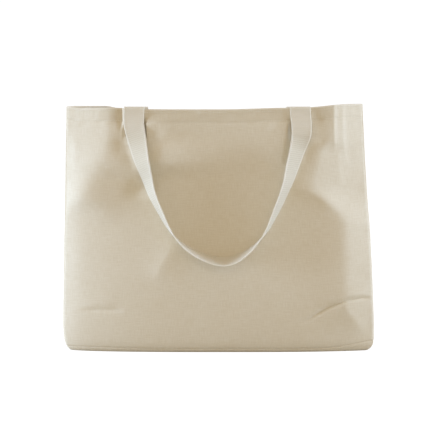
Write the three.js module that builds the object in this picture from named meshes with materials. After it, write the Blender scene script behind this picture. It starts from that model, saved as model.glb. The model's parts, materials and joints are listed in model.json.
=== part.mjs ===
// Canvas tote bag: five sewn canvas panels, their overlocked seam allowances, and two webbing handles
// that pass over the rim from the inside. Millimetres, +Z up, origin on the floor under the bag's middle,
// front towards -Y.
import * as THREE from "three";

// ---------- driving dimensions ----------
const CANVAS = 0.9; // one ply of canvas
const HEM_THICKNESS = 2.6; // three plies, where the rim is turned down twice
const HEM_DEPTH = 21;
const HEM_TAPER = 1; // the hem's folded edge meets the single cloth over this height
const CLEARANCE = 0.35; // between neighbouring pieces of cloth

const BASE_WIDTH = 492; // across the front, between the side seams near the floor
const RIM_WIDTH = 480; // across the front, between the side seams at the rim
const RIM_HEIGHT = 381; // at the middle of the front
const CORNER_RISE = 6; // the rim's corners stand this much above its middle
const BASE_DEPTH = 92; // between the front and back side seams near the floor
const RIM_DEPTH = 68; // between the front and back side seams at the rim
const BOTTOM_TUCK = 9; // the side seams draw in this much at the floor
const TUCK_HEIGHT = 18;

const BOW_BASE = 20; // how far the front stands out past its side seams, at the floor
const BOW_LOW = 48; // the same, for the control point that fills out the lower half
const BOW_RIM = 28; // the same, at the rim
const STRAIGHT_TOP = 44; // this much below the rim the cloth hangs plumb, held by the sewn webbing
const BOW_POWER_BASE = 4; // the higher, the flatter the middle and the sharper the sides turn
const BOW_POWER_RIM = 9;
const GUSSET_FOLD = 34; // the gusset's middle folds in this much at the rim
const GUSSET_BULGE = 5; // and stands out this much near the floor

const SEAM_WIDTH = 9;
const SEAM_THICKNESS = 1.8; // two plies, bound by the overlock stitch
const SEAM_END_GAP = 14; // allowances stop this short of a corner

const STRAP_WIDTH = 31.75;
const STRAP_THICKNESS = 1.8;
const STRAP_SPACING = 261; // between the centres of a handle's two ends
const STRAP_CLEARANCE = 0.6; // between the strap and the rim it folds over
const SEWN_LENGTH = 38; // the end that is box-stitched inside the hem
const HANDLE_DROP = 241; // from the rim to the lowest part of the hanging loop's centre line
const JOINT_GAP = 0.5; // between the stretches of one strap that move apart

// The hanging handle, seen from the front: share of the half spacing across, share of the drop,
// and how far the webbing has turned from facing forwards, in degrees.
const HANDLE_ROUTE = [
  [-1.0, 0.0, 0],
  [-1.0, 0.04, 4],
  [-1.01, 0.1, 12],
  [-0.985, 0.19, 32],
  [-0.92, 0.32, 46],
  [-0.83, 0.49, 59],
  [-0.69, 0.67, 71],
  [-0.5, 0.86, 86],
  [-0.25, 0.95, 100],
  [0.05, 1.0, 112],
  [0.31, 0.96, 103],
  [0.53, 0.86, 87],
  [0.7, 0.69, 72],
  [0.86, 0.49, 58],
  [0.965, 0.3, 44],
  [1.02, 0.18, 32],
  [1.02, 0.1, 12],
  [1.0, 0.04, 4],
  [1.0, 0.0, 0],
];

const LOOP_STEPS = 56;
const CANVAS_COLOUR = 0xd9cdb4;
const WEBBING_COLOUR = 0xe2d9c6;
const THREAD_COLOUR = 0xe6dfce;

// ---------- the bag's form ----------
const mix = (a, b, t) => a + (b - a) * t;

// Half the width between the side seams at height share v.
function halfWidth(v) {
  const tuck = Math.max(0, 1 - (v * RIM_HEIGHT) / TUCK_HEIGHT);
  return mix(BASE_WIDTH, RIM_WIDTH, v * v) / 2 - BOTTOM_TUCK * tuck * tuck;
}

// Share of the way up to the plumb stretch below the rim.
const rise = (v) => Math.max(0, Math.min(1, (v * RIM_HEIGHT) / (RIM_HEIGHT - STRAIGHT_TOP)));

// Half the distance between the front and back side seams.
const halfGap = (v) => mix(BASE_DEPTH, RIM_DEPTH, THREE.MathUtils.smoothstep(rise(v), 0, 1)) / 2;

// How far the middle of a panel stands out past its side seams: a cubic that ends upright.
function bow(v) {
  const t = rise(v);
  const lower = BOW_BASE * (1 - t) ** 3 + 3 * BOW_LOW * (1 - t) ** 2 * t;
  return lower + BOW_RIM * (3 * (1 - t) * t * t + t ** 3);
}

// Height of the rim at share s across, -1 to 1.
const rimHeight = (s) => RIM_HEIGHT + CORNER_RISE * Math.pow(Math.abs(s), 3);

// Outer face of the front panel, at share s across and share v up.
function frontFace(s, v) {
  const power = mix(BOW_POWER_BASE, BOW_POWER_RIM, v);
  const stand = halfGap(v) + bow(v) * (1 - Math.pow(Math.abs(s), power));
  return new THREE.Vector3(s * halfWidth(v), -stand, v * rimHeight(s));
}

// Cloth's thickness at height share v: three plies in the hem, one below it.
const hemShare = 1 - HEM_DEPTH / RIM_HEIGHT;
const plies = (v) => (v >= hemShare ? HEM_THICKNESS : CANVAS);

// Outer face of the left gusset, at share s from front (-1) to back (1).
function gussetFace(s, v) {
  const reach = halfGap(v) - plies(v) - CLEARANCE;
  const fold = mix(-GUSSET_BULGE, GUSSET_FOLD, v * v) * Math.pow(Math.cos((s * Math.PI) / 2), 2);
  return new THREE.Vector3(-halfWidth(v) + fold, s * reach, v * rimHeight(1));
}

// ---------- solids ----------
// A closed sheet of cloth: face(u, v) is its outer side, and it is thick(v) deep along the inward normal.
function clothSheet(face, us, vs, thick, inwards) {
  const positions = [];
  const index = [];
  const rows = vs.length;
  const step = 1e-3;
  const inner = us.length * rows;
  for (const side of [0, 1]) {
    for (const u of us) {
      for (const v of vs) {
        const here = face(u, v);
        if (side === 1) {
          const du = face(u + step, v).sub(face(u - step, v));
          const dv = face(u, v + step).sub(face(u, v - step));
          const normal = du.cross(dv).normalize().multiplyScalar(inwards);
          here.addScaledVector(normal, thick(v));
        }
        positions.push(here.x, here.y, here.z);
      }
    }
  }
  const quad = (a, b, c, d) => index.push(a, b, c, a, c, d);
  for (let i = 0; i < us.length - 1; i++) {
    for (let j = 0; j < rows - 1; j++) {
      const a = i * rows + j;
      const b = a + rows;
      quad(a, b, b + 1, a + 1);
      quad(inner + a, inner + a + 1, inner + b + 1, inner + b);
    }
  }
  for (let i = 0; i < us.length - 1; i++) {
    const low = i * rows;
    const high = low + rows - 1;
    quad(low + rows, low, inner + low, inner + low + rows);
    quad(high, high + rows, inner + high + rows, inner + high);
  }
  for (let j = 0; j < rows - 1; j++) {
    const last = (us.length - 1) * rows + j;
    quad(j, j + 1, inner + j + 1, inner + j);
    quad(last + 1, last, inner + last, inner + last + 1);
  }
  return facingOut(positions, index);
}

// A closed strip: one cross-section polygon for each stop along its length.
function loft(sections) {
  const sides = sections[0].length;
  const positions = sections.flat().flatMap((p) => [p.x, p.y, p.z]);
  const index = [];
  for (let i = 0; i < sections.length - 1; i++) {
    for (let j = 0; j < sides; j++) {
      const a = i * sides + j;
      const b = i * sides + ((j + 1) % sides);
      index.push(a, b, b + sides, a, b + sides, a + sides);
    }
  }
  const last = (sections.length - 1) * sides;
  for (let j = 1; j < sides - 1; j++) {
    index.push(0, j + 1, j, last, last + j, last + j + 1);
  }
  return facingOut(positions, index);
}

// A geometry from vertices and triangles, turned so that its volume is positive.
function facingOut(positions, index) {
  const corner = (k) => new THREE.Vector3().fromArray(positions, 3 * k);
  let volume = 0;
  for (let k = 0; k < index.length; k += 3) {
    const [a, b, c] = [corner(index[k]), corner(index[k + 1]), corner(index[k + 2])];
    volume += a.dot(b.cross(c));
  }
  if (volume < 0) index.reverse();
  const geometry = new THREE.BufferGeometry();
  geometry.setAttribute("position", new THREE.Float32BufferAttribute(positions, 3));
  geometry.setIndex(index);
  geometry.computeVertexNormals();
  return geometry;
}

// Webbing's section: a flat bar with its four corners cut, centred, across by through.
function strapSection(centre, across, through, width, thickness) {
  const cut = thickness / 4;
  const outline = [
    [1, 1, -cut, 0],
    [1, 1, 0, -cut],
    [1, -1, 0, cut],
    [1, -1, -cut, 0],
    [-1, -1, cut, 0],
    [-1, -1, 0, cut],
    [-1, 1, 0, -cut],
    [-1, 1, cut, 0],
  ];
  return outline.map(([a, b, da, db]) =>
    centre
      .clone()
      .addScaledVector(across, (a * width) / 2 + da)
      .addScaledVector(through, (b * thickness) / 2 + db),
  );
}

const shares = (count) => Array.from({ length: count + 1 }, (_, i) => i / count);
const across = (count) => shares(count).map((t) => 2 * t - 1);

// ---------- materials ----------
const cloth = (colour) =>
  new THREE.MeshStandardMaterial({ color: colour, roughness: 0.9, metalness: 0 });
const canvas = cloth(CANVAS_COLOUR);
const webbing = cloth(WEBBING_COLOUR);
const overlock = cloth(THREAD_COLOUR);

const tote = new THREE.Group();
function add(name, geometry, material, parent = tote) {
  const mesh = new THREE.Mesh(geometry, material);
  mesh.name = name;
  parent.add(mesh);
  return mesh;
}

// What the front has, the back has too, turned half round.
const back = new THREE.Group();
back.rotation.z = Math.PI;
tote.add(back);

// ---------- panels ----------
const hemStep = HEM_TAPER / RIM_HEIGHT;
const heights = [
  ...shares(3).map((t) => (t * TUCK_HEIGHT) / RIM_HEIGHT),
  ...shares(8).slice(1).map((t) => mix(TUCK_HEIGHT / RIM_HEIGHT, hemShare - hemStep, t)),
  hemShare,
  1,
];
const sideShares = across(22).map((s) => Math.sign(s) * (1 - Math.pow(1 - Math.abs(s), 1.35)));

add("front_panel", clothSheet(frontFace, sideShares, heights, plies, -1), canvas);
add("back_panel", clothSheet(frontFace, sideShares, heights, plies, -1), canvas, back);
add("left_gusset", clothSheet(gussetFace, across(10), heights, plies, 1), canvas);
add("right_gusset", clothSheet(gussetFace, across(10), heights, plies, 1), canvas, back);

// The base: a flat piece that fills the outline of the four upright panels.
function baseOutline() {
  const inset = CANVAS + CLEARANCE;
  const front = across(20).map((s) => {
    const edge = frontFace(s, 0);
    return new THREE.Vector2(edge.x * (1 - inset / halfWidth(0)), edge.y + inset);
  });
  const right = across(6).slice(1, -1).map((s) => {
    const edge = gussetFace(s, 0);
    return new THREE.Vector2(-edge.x - inset, edge.y);
  });
  const half = [...front, ...right];
  return new THREE.Shape([...half, ...half.map((p) => new THREE.Vector2(-p.x, -p.y))]);
}
const base = new THREE.ExtrudeGeometry(baseOutline(), { depth: CANVAS, bevelEnabled: false });
add("base_panel", base, canvas);

// ---------- seam allowances, standing inside the corners ----------
// How far inside the cloth's outer faces a seam allowance has room to start.
const seamInset = CANVAS + CLEARANCE;

// A strip that starts at the outer corner(t) of two panels, leans inwards, and is bound along its edge.
function allowance(corner, inwards, run, stops) {
  const lean = inwards.clone().normalize();
  const through = new THREE.Vector3().crossVectors(run, lean).normalize();
  const sections = stops.map((t) => {
    const centre = corner(t)
      .addScaledVector(inwards, seamInset)
      .addScaledVector(lean, (SEAM_THICKNESS + SEAM_WIDTH) / 2);
    return strapSection(centre, lean, through, SEAM_WIDTH, SEAM_THICKNESS);
  });
  return loft(sections);
}

const sideStops = heights
  .slice(3, -2)
  .filter((v) => v * RIM_HEIGHT > SEAM_END_GAP && v < hemShare - SEAM_END_GAP / RIM_HEIGHT);

// Upright seam at the front left (side -1) or front right (side 1).
function uprightSeam(side) {
  const inwards = new THREE.Vector3(-side, 1, 0);
  return allowance((v) => frontFace(side, v), inwards, new THREE.Vector3(0, 0, 1), sideStops);
}

// Seam along the front edge of the base.
function longSeam() {
  const reach = 1 - SEAM_END_GAP / halfWidth(0);
  const stops = across(16).map((s) => s * reach);
  const inwards = new THREE.Vector3(0, 1, 1);
  return allowance((s) => frontFace(s, 0), inwards, new THREE.Vector3(1, 0, 0), stops);
}

// Seam along the left edge of the base.
function shortSeam() {
  const reach = 1 - SEAM_END_GAP / halfGap(0);
  const stops = across(8).map((s) => s * reach);
  const inwards = new THREE.Vector3(1, 0, 1);
  return allowance((s) => gussetFace(s, 0), inwards, new THREE.Vector3(0, 1, 0), stops);
}

add("front_left_seam", uprightSeam(-1), overlock);
add("front_right_seam", uprightSeam(1), overlock);
add("back_right_seam", uprightSeam(-1), overlock, back);
add("back_left_seam", uprightSeam(1), overlock, back);
add("front_base_seam", longSeam(), overlock);
add("back_base_seam", longSeam(), overlock, back);
add("left_base_seam", shortSeam(), overlock);
add("right_base_seam", shortSeam(), overlock, back);

// ---------- handles ----------
// The strap turns over the rim about this line, which is also the handle's hinge.
const strapShare = STRAP_SPACING / RIM_WIDTH;
const rimAtStrap = frontFace(strapShare, 1);
const hingeY = rimAtStrap.y + HEM_THICKNESS / 2;
const hingeZ = rimAtStrap.z;
const foldRadius = HEM_THICKNESS / 2 + STRAP_CLEARANCE + STRAP_THICKNESS / 2;

// The front panel's outer face at a point x across and z up.
function frontAt(x, z) {
  let v = z / RIM_HEIGHT;
  for (let i = 0; i < 4; i++) v = z / rimHeight(x / halfWidth(v));
  return frontFace(x / halfWidth(v), v);
}

// A section moved straight forwards or back until its nearest corner just clears the front panel.
function seatOnPanel(section) {
  const room = Math.min(...section.map((p) => frontAt(p.x, p.z).y - p.y));
  return section.map((p) => p.setY(p.y - (STRAP_CLEARANCE - room)));
}

// The loop that swings. Its outer edge lies on the panel, and its inner edge turns out from it.
function handleLoop() {
  const turnScale = 100; // keeps the three numbers of a stop alike in size
  const stops = HANDLE_ROUTE.map(([a, d, turn]) => new THREE.Vector3(a, d, turn / turnScale));
  const route = new THREE.CatmullRomCurve3(stops, false, "centripetal");
  const forwards = new THREE.Vector3(0, -1, 0);
  const centreAt = (t) => {
    const { x: a, y: d } = route.getPoint(t);
    const x = (a * STRAP_SPACING) / 2;
    const z = hingeZ - JOINT_GAP - d * HANDLE_DROP;
    return new THREE.Vector3(x, frontAt(x, z).y, z);
  };
  const sections = shares(LOOP_STEPS).map((t) => {
    const turn = THREE.MathUtils.degToRad(route.getPoint(t).z * turnScale);
    const tangent = centreAt(Math.min(1, t + 1e-3))
      .sub(centreAt(Math.max(0, t - 1e-3)))
      .normalize();
    const outwards = new THREE.Vector3().crossVectors(tangent, forwards).normalize();
    const front = new THREE.Vector3().crossVectors(outwards, tangent).normalize();
    const [sin, cos] = [Math.sin(turn), Math.cos(turn)];
    const width = front.clone().multiplyScalar(sin).addScaledVector(outwards, -cos);
    const normal = front.clone().multiplyScalar(cos).addScaledVector(outwards, sin);
    return seatOnPanel(strapSection(centreAt(t), width, normal, STRAP_WIDTH, STRAP_THICKNESS));
  });
  return loft(sections);
}

// The half turn over the rim, at side -1 (left) or 1 (right).
function strapFold(side) {
  const x = (side * STRAP_SPACING) / 2;
  const width = new THREE.Vector3(1, 0, 0);
  const sections = shares(10).map((t) => {
    const angle = Math.PI * t;
    const through = new THREE.Vector3(0, Math.cos(angle), Math.sin(angle));
    const centre = new THREE.Vector3(x, hingeY, hingeZ).addScaledVector(through, foldRadius);
    return strapSection(centre, width, through, STRAP_WIDTH, STRAP_THICKNESS);
  });
  return loft(sections);
}

// The end that is sewn flat to the inside of the hem.
function sewnEnd(side) {
  const x = (side * STRAP_SPACING) / 2;
  const width = new THREE.Vector3(1, 0, 0);
  const lean = frontAt(x, hingeZ - SEWN_LENGTH).sub(frontAt(x, hingeZ)).normalize();
  const through = new THREE.Vector3().crossVectors(lean, width).normalize();
  const top = new THREE.Vector3(x, hingeY + foldRadius, hingeZ - JOINT_GAP);
  const sections = [0, SEWN_LENGTH].map((d) =>
    strapSection(top.clone().addScaledVector(lean, d), width, through, STRAP_WIDTH, STRAP_THICKNESS),
  );
  return loft(sections);
}

for (const [name, parent] of [["front", tote], ["back", back]]) {
  add(`${name}_handle_loop`, handleLoop(), webbing, parent);
  for (const [place, side] of [["left", -1], ["right", 1]]) {
    const turned = parent === back ? -side : side;
    add(`${name}_handle_${place}_fold`, strapFold(turned), webbing, parent);
    add(`${name}_handle_${place}_sewn_end`, sewnEnd(turned), webbing, parent);
  }
}

export default tote;
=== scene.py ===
"""Canvas tote bag: sewn panels, webbing handles and stitches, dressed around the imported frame."""

import json
import math
from functools import partial

import bmesh
import bpy
import numpy as np
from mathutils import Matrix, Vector


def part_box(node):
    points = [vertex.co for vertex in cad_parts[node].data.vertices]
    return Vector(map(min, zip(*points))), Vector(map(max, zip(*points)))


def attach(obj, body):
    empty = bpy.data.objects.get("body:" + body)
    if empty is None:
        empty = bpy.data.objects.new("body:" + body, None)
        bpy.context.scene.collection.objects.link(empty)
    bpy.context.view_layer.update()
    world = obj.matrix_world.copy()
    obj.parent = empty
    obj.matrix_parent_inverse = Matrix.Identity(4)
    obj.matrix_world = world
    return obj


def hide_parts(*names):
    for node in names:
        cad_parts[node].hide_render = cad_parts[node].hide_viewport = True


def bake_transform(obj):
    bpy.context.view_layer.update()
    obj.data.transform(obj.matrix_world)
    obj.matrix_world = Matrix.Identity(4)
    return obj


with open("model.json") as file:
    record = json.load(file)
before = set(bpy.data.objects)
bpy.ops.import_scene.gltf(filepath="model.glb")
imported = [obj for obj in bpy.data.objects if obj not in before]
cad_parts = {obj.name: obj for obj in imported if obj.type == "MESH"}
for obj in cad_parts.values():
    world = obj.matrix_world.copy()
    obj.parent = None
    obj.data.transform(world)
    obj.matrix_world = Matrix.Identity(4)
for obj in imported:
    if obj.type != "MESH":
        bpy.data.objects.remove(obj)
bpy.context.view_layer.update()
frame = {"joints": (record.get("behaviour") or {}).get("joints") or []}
MM = 0.001
FRONT, BACK, LEFT, RIGHT = -1, 1, -1, 1

# ---------------------------------------------------------------- sizes, in metres
RIM_CORNER_RISE = 6 * MM  # the frame's rim corners stand this much above its middle
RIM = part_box("front_panel")[1].z - RIM_CORNER_RISE
SEAM_SETBACK = 1.2 * MM  # the side seams draw the cloth in from the frame's edge
SIDE_TAPER = 12.4 * MM  # each side comes in this much from the base to the rim
SEAM_HALF_WIDTH_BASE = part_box("front_panel")[1].x - SEAM_SETBACK
SEAM_HALF_WIDTH_RIM = SEAM_HALF_WIDTH_BASE - SIDE_TAPER
LEAN_BASE, LEAN_RIM = 2.4 * MM, -4 * MM  # the bag leans a little to the left
HALF_GAP_BASE = 46 * MM  # half the distance between the front and back side seams, near the floor
HALF_GAP_RIM = 34 * MM  # the same at the rim
STRAIGHT_TOP = 44 * MM  # the cloth hangs plumb this far below the rim
# How far a panel's middle bows out past its seams: at the floor, low down and at the rim
BOW_BASE, BOW_LOW, BOW_RIM = 23 * MM, 47 * MM, 28 * MM

# Where a panel's flat middle ends and its sides turn back: heights in mm, and shares of the half width
LEFT_TURN = ([235, 250, 264, 282, 303, 318, 330, 400], [0.945, 0.935, 0.89, 0.83, 0.785, 0.74, 0.715, 0.71])
RIGHT_TURN = (
    [100, 150, 205, 221, 233, 245, 257, 270, 300, 318, 330, 400],
    [0.818, 0.833, 0.838, 0.803, 0.758, 0.699, 0.635, 0.64, 0.68, 0.69, 0.755, 0.774],
)
LEFT_TURN_START, RIGHT_TURN_START = (195, 245), (30, 120)  # heights over which the turns set in, in mm
# How much less the right side falls back: heights in mm, and shares of its fall
RIGHT_FORWARD = ([0, 60, 130, 200, 225, 250, 300], [0.15, 0.35, 0.5, 0.45, 0.2, 0, -0.15])
TURN_SOFTNESS = {LEFT: 0.042, RIGHT: 0.018}  # how gradual the turn is, in shares of the half width
ROUND_POWER = {LEFT: 2.9, RIGHT: 3.2}  # how the sides fall away lower down, where they don't turn sharply
SEAM_FLAT, SEAM_FLAT_SOFTNESS = 0.93, 0.03  # the left side's narrow flat along its seam, in the same shares
SEAM_FLAT_WEIGHT = 0.16

GUSSET_FOLD = 34 * MM  # the gusset's middle folds in this much at the rim
GUSSET_BULGE = 4.5 * MM  # and stands out this much near the floor
GUSSET_SAG = 1.5 * MM  # its rim hangs this much lower in the middle
GUSSET_ROLL_BASE, GUSSET_ROLL_RIM = 1.3 * MM, 2.0 * MM  # how proud it stands beside its seams
GUSSET_ROLL_REACH = 0.15  # and how far from them it does, as a share of its half width
BOTTOM_ROUND_UP, BOTTOM_ROUND_IN = 22 * MM, 8 * MM
CORNER_UP, CORNER_IN = {LEFT: 48 * MM, RIGHT: 15 * MM}, 5 * MM  # how far a bottom corner is worn round

PLY = 0.9 * MM  # one ply of canvas
HEM_DEPTH = 21 * MM
HEM_THICKNESS = 2.6 * MM
HEM_TURN = (HEM_THICKNESS - PLY) / 2  # radius of the cloth's turn over the rim
HEM_TUCK = 0.55 * MM  # radius of the hem's tucked edge
HEM_GRID = 24 * MM  # the mesh is finer from here up to the rim
# The hem's two rows of stitches: below the rim, the dent's width and depth, and how deep the thread lies
ROW_EDGE = (4.5 * MM, 1.1 * MM, 0.28 * MM, 0.24 * MM)
ROW_LOW = (19.5 * MM, 1.2 * MM, 0.34 * MM, 0.3 * MM)
EDGE_LINES = np.array([0, 0.3, 0.7, 1.2, 1.9, 2.8, 3.9]) * MM  # mesh lines along a sewn edge
EDGE_MARGIN = 5.4 * MM  # from where the mesh is even
# Mesh lines along a wall: up it, up the hem, over the rim, down inside and round the tucked edge
WALL_LINES, HEM_LINES, TURN_LINES, INSIDE_LINES, TUCK_LINES = 104, 22, 8, 17, 4
SIDE_ROLL, BASE_ROLL, ROLL_DEPTH = 3.2 * MM, 2.6 * MM, 1.3 * MM  # sewn edges roll inwards

SEAM_WIDTH = 9 * MM  # an allowance laid flat
SEAM_THICKNESS = 1.7 * MM
SEAM_START, SEAM_REACH = 1.6 * MM, 8.6 * MM  # where it leaves the corner, and how far it stands in
SIDE_SEAM_LOW = 20 * MM  # the upright allowances stop short of the base's
PANEL_SEAM_SHARE, GUSSET_SEAM_SHARE = 0.94, 0.72  # how much of each wall's width the base's run along
SEAM_BINDING = 0.3 * MM  # how far the thread lies in from the cut edge

STRAP_WIDTH = 31.75 * MM
STRAP_THICKNESS = 1.8 * MM
STRAP_CLEARANCE = 0.6 * MM
SEWN_LENGTH = 38 * MM
FOLD_RADIUS = HEM_THICKNESS / 2 + STRAP_CLEARANCE + STRAP_THICKNESS / 2
HALF_SPACING = 129 * MM
HANDLE_DROP = 236.5 * MM
HANDLE_STEP = 2.5 * MM  # from one of its sections to the next
SETTLED_CLEARANCE = 0.4 * MM  # where the handle lies on the cloth
HINGE = Vector(next(j for j in frame["joints"] if j["name"] == "front_handle_swing")["pos_m"])
FOLD_BLEND = 1.8 * MM  # each way from the hinge, along the fold over the rim

# How the handle hangs: share of the half spacing across, share of the drop, and degrees turned from
# facing forwards
HANDLE_PATH = [
    (-1.0, 0.0, 0), (-1.0, 0.03, 0), (-1.005, 0.05, 4), (-1.008, 0.09, 5), (-0.997, 0.13, 9),
    (-0.980, 0.167, 16), (-0.944, 0.245, 29), (-0.915, 0.32, 40), (-0.867, 0.4, 51),
    (-0.832, 0.477, 60), (-0.786, 0.557, 67), (-0.717, 0.635, 71), (-0.646, 0.713, 76),
    (-0.572, 0.79, 81), (-0.49, 0.85, 87), (-0.39, 0.9, 94), (-0.27, 0.94, 100),
    (-0.15, 0.972, 105), (0.04, 1.0, 109), (0.16, 0.996, 108), (0.28, 0.965, 103),
    (0.4, 0.92, 95), (0.5, 0.86, 88), (0.55, 0.83, 84), (0.61, 0.78, 79), (0.675, 0.7, 73),
    (0.745, 0.62, 68), (0.8, 0.543, 65), (0.858, 0.465, 58), (0.89, 0.39, 50),
    (0.938, 0.31, 43), (0.971, 0.24, 35), (1.005, 0.195, 22), (1.018, 0.16, 11),
    (1.014, 0.1, 7), (1.004, 0.06, 3), (1.0, 0.03, 0), (1.0, 0.0, 0),
]  # fmt: skip


# ---------------------------------------------------------------- numbers
def mix(a, b, t):
    return a + (b - a) * t


def smoothstep(low, high, x):
    t = np.clip((np.asarray(x, float) - low) / (high - low), 0, 1)
    return t * t * (3 - 2 * t)


def quarter_round(distance, radius):
    """1 at an edge and 0 at a radius from it, as a rounded edge falls away."""
    near = np.clip(1 - distance / radius, 0, 1)
    return 1 - np.sqrt(1 - near**2)


def bell(x, z, centre, radii, turn=0.0):
    """A soft oval rise of height 1. Centre and radii are in mm, turn in degrees."""
    c, s = math.cos(math.radians(turn)), math.sin(math.radians(turn))
    dx, dz = x - centre[0] * MM, z - centre[1] * MM
    across, along = dx * c + dz * s, -dx * s + dz * c
    return np.exp(-0.5 * ((across / (radii[0] * MM)) ** 2 + (along / (radii[1] * MM)) ** 2))


def near_path(x, z, path):
    """Distance to a path of points in mm, positive on its left, and the share of its length there."""
    points = np.array(path, float) * MM
    lengths = np.linalg.norm(np.diff(points, axis=0), axis=1)
    starts = np.concatenate([[0], np.cumsum(lengths)])
    best = np.full(np.shape(x), 1e9)
    side = np.ones(np.shape(x))
    share = np.zeros(np.shape(x))
    for i, length in enumerate(lengths):
        a, d = points[i], (points[i + 1] - points[i]) / length
        along = np.clip((x - a[0]) * d[0] + (z - a[1]) * d[1], 0, length)
        ox, oz = x - a[0] - along * d[0], z - a[1] - along * d[1]
        distance = np.hypot(ox, oz)
        nearer = distance < best
        best = np.where(nearer, distance, best)
        side = np.where(nearer, np.sign(d[0] * oz - d[1] * ox), side)
        share = np.where(nearer, (starts[i] + along) / starts[-1], share)
    return best * side, share


def crease(x, z, path, width, height, left=1.0, right=1.0, ends=(1, 1)):
    """A ridge along a path, or a valley where height is negative. left and right widen a flank,
    and ends are 1 where it fades out and 0 where it runs on."""
    distance, share = near_path(x, z, path)
    flank = np.where(distance > 0, left, right) * width * MM
    profile = np.exp(0.3 - np.sqrt((distance / flank) ** 2 + 0.09))
    fade = np.ones(np.shape(x))
    if ends[0]:
        fade = fade * smoothstep(0, 0.35, share)
    if ends[1]:
        fade = fade * smoothstep(0, 0.35, 1 - share)
    return height * MM * profile * fade


def waves(x, z, seed, longest, size, count=7):
    """Gentle uneven swell over the cloth: sine waves in fixed random directions."""
    rng = np.random.default_rng(seed)
    total = np.zeros(np.broadcast(x, z).shape)
    for _ in range(count):
        angle, phase = rng.uniform(0, math.pi), rng.uniform(0, 2 * math.pi)
        length = longest * MM * rng.uniform(0.35, 1.0)
        across = x * math.cos(angle) + z * math.sin(angle)
        total = total + np.sin(across * 2 * math.pi / length + phase) * length / (longest * MM)
    return total * size * MM / count


# ---------------------------------------------------------------- the bag's form
def rise(z):
    """Share of the way up to the plumb stretch below the rim."""
    return np.clip(z / (RIM - STRAIGHT_TOP), 0, 1)


def bottom_inset(z):
    """How far a wall has rounded in under itself at height z."""
    return BOTTOM_ROUND_IN * quarter_round(z, BOTTOM_ROUND_UP)


def corner_inset(side, z):
    """How much further in a bottom corner is worn round, at the left or the right."""
    return CORNER_IN * quarter_round(z, CORNER_UP[side])


def lean(z):
    """Where the bag's middle stands at height z."""
    return mix(LEAN_BASE, LEAN_RIM, z / RIM)


def seam_half_width(z):
    """Half the distance between the left and right side seams."""
    t = np.clip((z - 0.12 * RIM) / (0.88 * RIM), 0, 1.1)
    return mix(SEAM_HALF_WIDTH_BASE, SEAM_HALF_WIDTH_RIM, t) - bottom_inset(z)


def seam_half_gap(z):
    """Half the distance between the front and back side seams."""
    return mix(HALF_GAP_BASE, HALF_GAP_RIM, smoothstep(0, 1, rise(z))) - 0.5 * bottom_inset(z)


def bow(z):
    """How far the middle of a panel stands out past its side seams."""
    t = rise(z)
    lower = BOW_BASE * (1 - t) ** 3 + 3 * BOW_LOW * (1 - t) ** 2 * t
    return lower + BOW_RIM * (3 * (1 - t) * t * t + t**3) - 0.5 * bottom_inset(z)


def beside_straps(x, z):
    """1 where the cloth is free to fold, 0 under the sewn ends of the handles."""
    near = 1 - smoothstep(16.5 * MM, 19.5 * MM, np.abs(np.abs(x) - HALF_SPACING))
    return 1 - near * smoothstep(RIM - 50 * MM, RIM - 39 * MM, z)


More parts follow.
